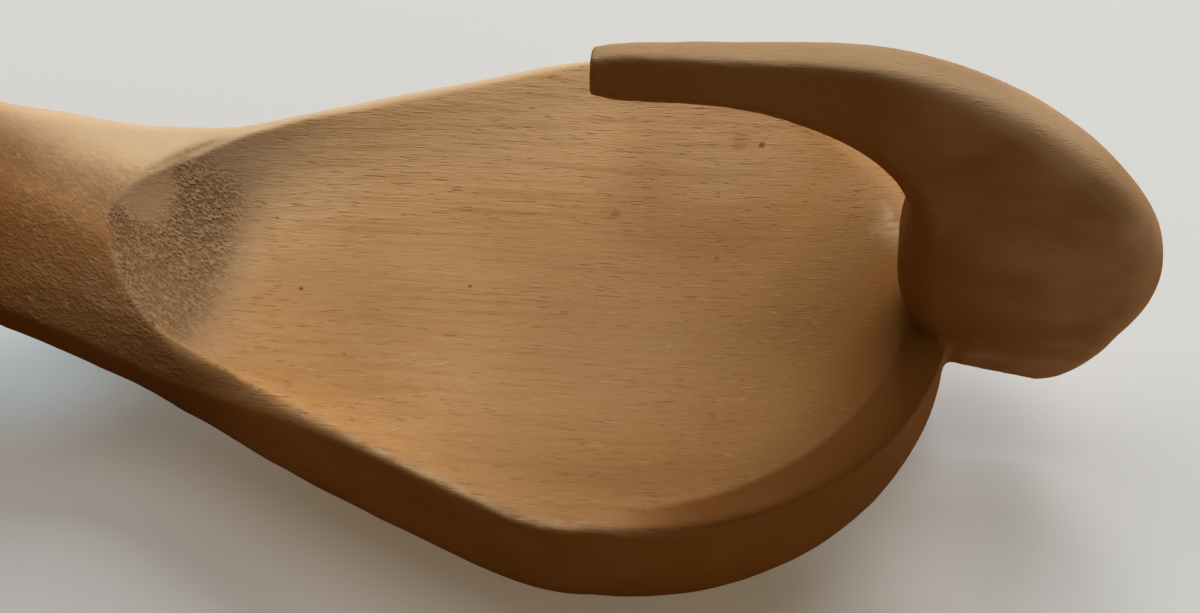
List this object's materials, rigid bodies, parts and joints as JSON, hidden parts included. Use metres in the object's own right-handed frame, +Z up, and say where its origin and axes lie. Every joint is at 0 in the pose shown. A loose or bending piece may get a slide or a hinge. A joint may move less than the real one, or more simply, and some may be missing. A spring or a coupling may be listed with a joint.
{
  "type": "carved love spoon",
  "caption": "Wooden love spoon with a shallow egg-shaped bowl, a comma-shaped hook on its front, loose balls in a cage on the handle, and a carved chain that ends in a heart for a wall peg.",
  "frame": {"origin": "on the table plane under the centre of the bowl's round front, where the bowl's flat base rests", "axes": "+X along the spoon towards the hook, +Y to the spoon's left, +Z up out of the bowl"},
  "size_m": [0.2675, 0.0502, 0.0376],
  "materials": {
    "wood": "bare, hand carved, lightly sanded"
  },
  "bodies": {
    "spoon": {"carved_body": "wood"},
    "ball_1": {"cage_ball_1": "wood"},
    "ball_2": {"cage_ball_2": "wood"},
    "ball_3": {"cage_ball_3": "wood"},
    "link_1": {"chain_link_1": "wood"},
    "link_2": {"chain_link_2": "wood"},
    "link_3": {"chain_link_3": "wood"},
    "link_4": {"chain_link_4": "wood"},
    "heart": {"hanging_heart": "wood"}
  },
  "joints": [
    {"name": "ball_1_slide", "type": "slide", "parent": "spoon", "child": "ball_1", "axis": [1, 0, 0], "range_m": [-0.001, 0.0021]},
    {"name": "ball_2_slide", "type": "slide", "parent": "spoon", "child": "ball_2", "axis": [1, 0, 0], "range_m": [-0.001, 0.001]},
    {"name": "ball_3_slide", "type": "slide", "parent": "spoon", "child": "ball_3", "axis": [1, 0, 0], "range_m": [-0.0021, 0.001]},
    {"name": "link_1_swing", "type": "hinge", "parent": "spoon", "child": "link_1", "pos_m": [-0.16007, 0, 0.0059], "axis": [0, 1, 0], "range_deg": [-60, 60]},
    {"name": "link_2_swing", "type": "hinge", "parent": "link_1", "child": "link_2", "pos_m": [-0.16967, 0, 0.0059], "axis": [0, 0, 1], "range_deg": [-40, 40]},
    {"name": "link_3_swing", "type": "hinge", "parent": "link_2", "child": "link_3", "pos_m": [-0.17927, 0, 0.0059], "axis": [0, 1, 0], "range_deg": [-40, 40]},
    {"name": "link_4_swing", "type": "hinge", "parent": "link_3", "child": "link_4", "pos_m": [-0.18887, 0, 0.0059], "axis": [0, 0, 1], "range_deg": [-40, 40]},
    {"name": "heart_swing", "type": "hinge", "parent": "link_4", "child": "heart", "pos_m": [-0.19777, 0, 0.0059], "axis": [0, 1, 0], "range_deg": [-40, 40]}
  ]
}
